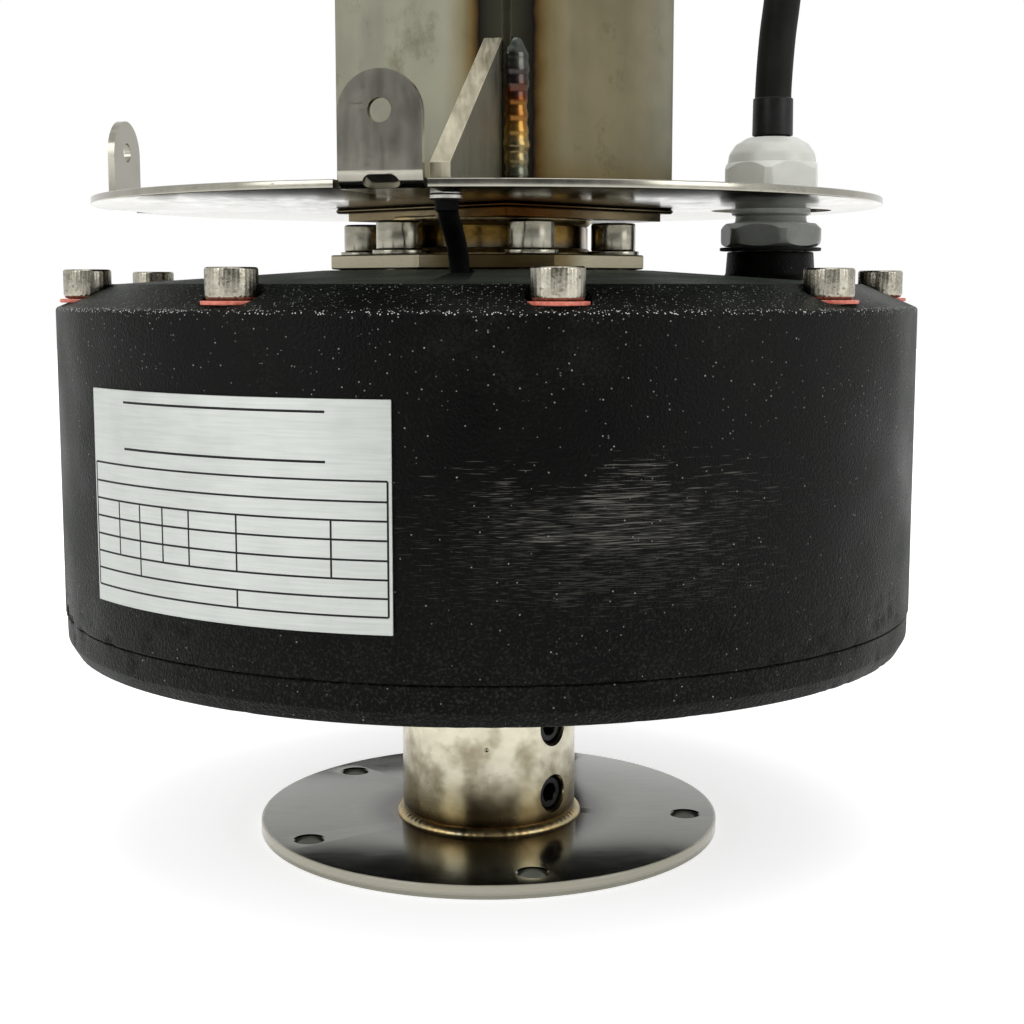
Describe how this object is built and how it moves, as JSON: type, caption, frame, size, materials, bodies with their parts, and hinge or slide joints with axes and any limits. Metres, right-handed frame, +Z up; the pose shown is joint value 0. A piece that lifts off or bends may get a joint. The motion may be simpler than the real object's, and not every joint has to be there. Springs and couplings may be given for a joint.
{
  "type": "vertical axis turbine generator head",
  "caption": "Drum-shaped axial flux generator with a turning hub flange below, and a disc, gusset and square steel column above that carry it, with its output cable.",
  "frame": {"origin": "centre of the hub flange's lower face, on the shaft axis", "axes": "+Z up along the shaft, -Y to the front where the column's welded corner and gusset are, +X towards the cable gland"},
  "size_m": [0.25, 0.4425, 0.3304],
  "materials": {
    "housing_paint": "fine textured black powder coat on cast alloy",
    "seal_rubber": "black nitrile rubber",
    "stator_resin": "potted resin over copper windings",
    "bearing_steel": "ground bearing steel",
    "rating_foil": "satin silver foil plate, ruled",
    "stainless_plate": "cut stainless plate, welded, with heat tint",
    "column_steel": "satin folded stainless sheet",
    "polished_sheet": "polished stainless sheet",
    "gland_plastic": "moulded light grey polyamide",
    "lead_sheath": "black sheathed lead",
    "tinned_lug": "tinned crimp lug",
    "screw_steel": "bright socket head screws",
    "fibre_washer": "red fibre washer",
    "machined_steel": "turned steel",
    "rotor_iron": "soft iron with bonded magnets",
    "black_steel": "blackened grub screw",
    "cable_rubber": "matt black rubber sheath"
  },
  "bodies": {
    "housing": {"drum_housing": "housing_paint", "bottom_cover": "housing_paint", "housing_seal": "seal_rubber", "stator_disc": "stator_resin", "lower_bearing_outer_ring": "bearing_steel", "upper_bearing_outer_ring": "bearing_steel", "shaft_seal": "seal_rubber", "label_plate": "rating_foil", "flange_plate": "stainless_plate", "neck_tube": "stainless_plate", "column_base_plate": "stainless_plate", "column_left": "column_steel", "column_right": "column_steel", "disc_plate": "polished_sheet", "gusset": "stainless_plate", "gland_washer": "seal_rubber", "gland_body": "gland_plastic", "gland_cap": "gland_plastic", "earth_lead": "lead_sheath", "earth_lug": "tinned_lug", "casing_screw_1": "screw_steel", "casing_screw_2": "screw_steel", "casing_screw_3": "screw_steel", "casing_screw_4": "screw_steel", "casing_screw_5": "screw_steel", "casing_screw_6": "screw_steel", "casing_screw_7": "screw_steel", "casing_screw_8": "screw_steel", "casing_screw_9": "screw_steel", "casing_washer_1": "fibre_washer", "casing_washer_2": "fibre_washer", "casing_washer_3": "fibre_washer", "casing_washer_4": "fibre_washer", "casing_washer_5": "fibre_washer", "casing_washer_6": "fibre_washer", "casing_washer_7": "fibre_washer", "casing_washer_8": "fibre_washer", "casing_washer_9": "fibre_washer", "flange_screw_1": "screw_steel", "flange_screw_2": "screw_steel", "flange_screw_3": "screw_steel", "flange_screw_4": "screw_steel", "flange_screw_5": "screw_steel", "flange_screw_6": "screw_steel", "cable_lead": "cable_rubber", "cable_coil": "cable_rubber", "cable_end": "cable_rubber"},
    "rotor": {"shaft": "machined_steel", "lower_rotor_disc": "rotor_iron", "upper_rotor_disc": "rotor_iron", "rotor_spacer": "machined_steel", "rotor_nut": "machined_steel", "hub_collar": "machined_steel", "hub_flange": "machined_steel", "grub_screw_lower": "black_steel", "grub_screw_upper": "black_steel", "lower_bearing_inner_ring": "bearing_steel", "upper_bearing_inner_ring": "bearing_steel"},
    "lower_balls": {"lower_bearing_balls": "bearing_steel"},
    "upper_balls": {"upper_bearing_balls": "bearing_steel"}
  },
  "joints": [
    {"name": "shaft_spin", "type": "hinge", "parent": "housing", "child": "rotor", "pos_m": [0, 0, 0.078], "axis": [0, 0, 1], "continuous": true},
    {"name": "lower_ball_spin", "type": "hinge", "parent": "housing", "child": "lower_balls", "pos_m": [0, 0, 0.078], "axis": [0, 0, 1], "continuous": true},
    {"name": "upper_ball_spin", "type": "hinge", "parent": "housing", "child": "upper_balls", "pos_m": [0, 0, 0.1532], "axis": [0, 0, 1], "continuous": true}
  ],
  "couplings": [
    {"joint": "lower_ball_spin", "follows": "shaft_spin", "ratio": 0.3982},
    {"joint": "upper_ball_spin", "follows": "shaft_spin", "ratio": 0.3831}
  ]
}
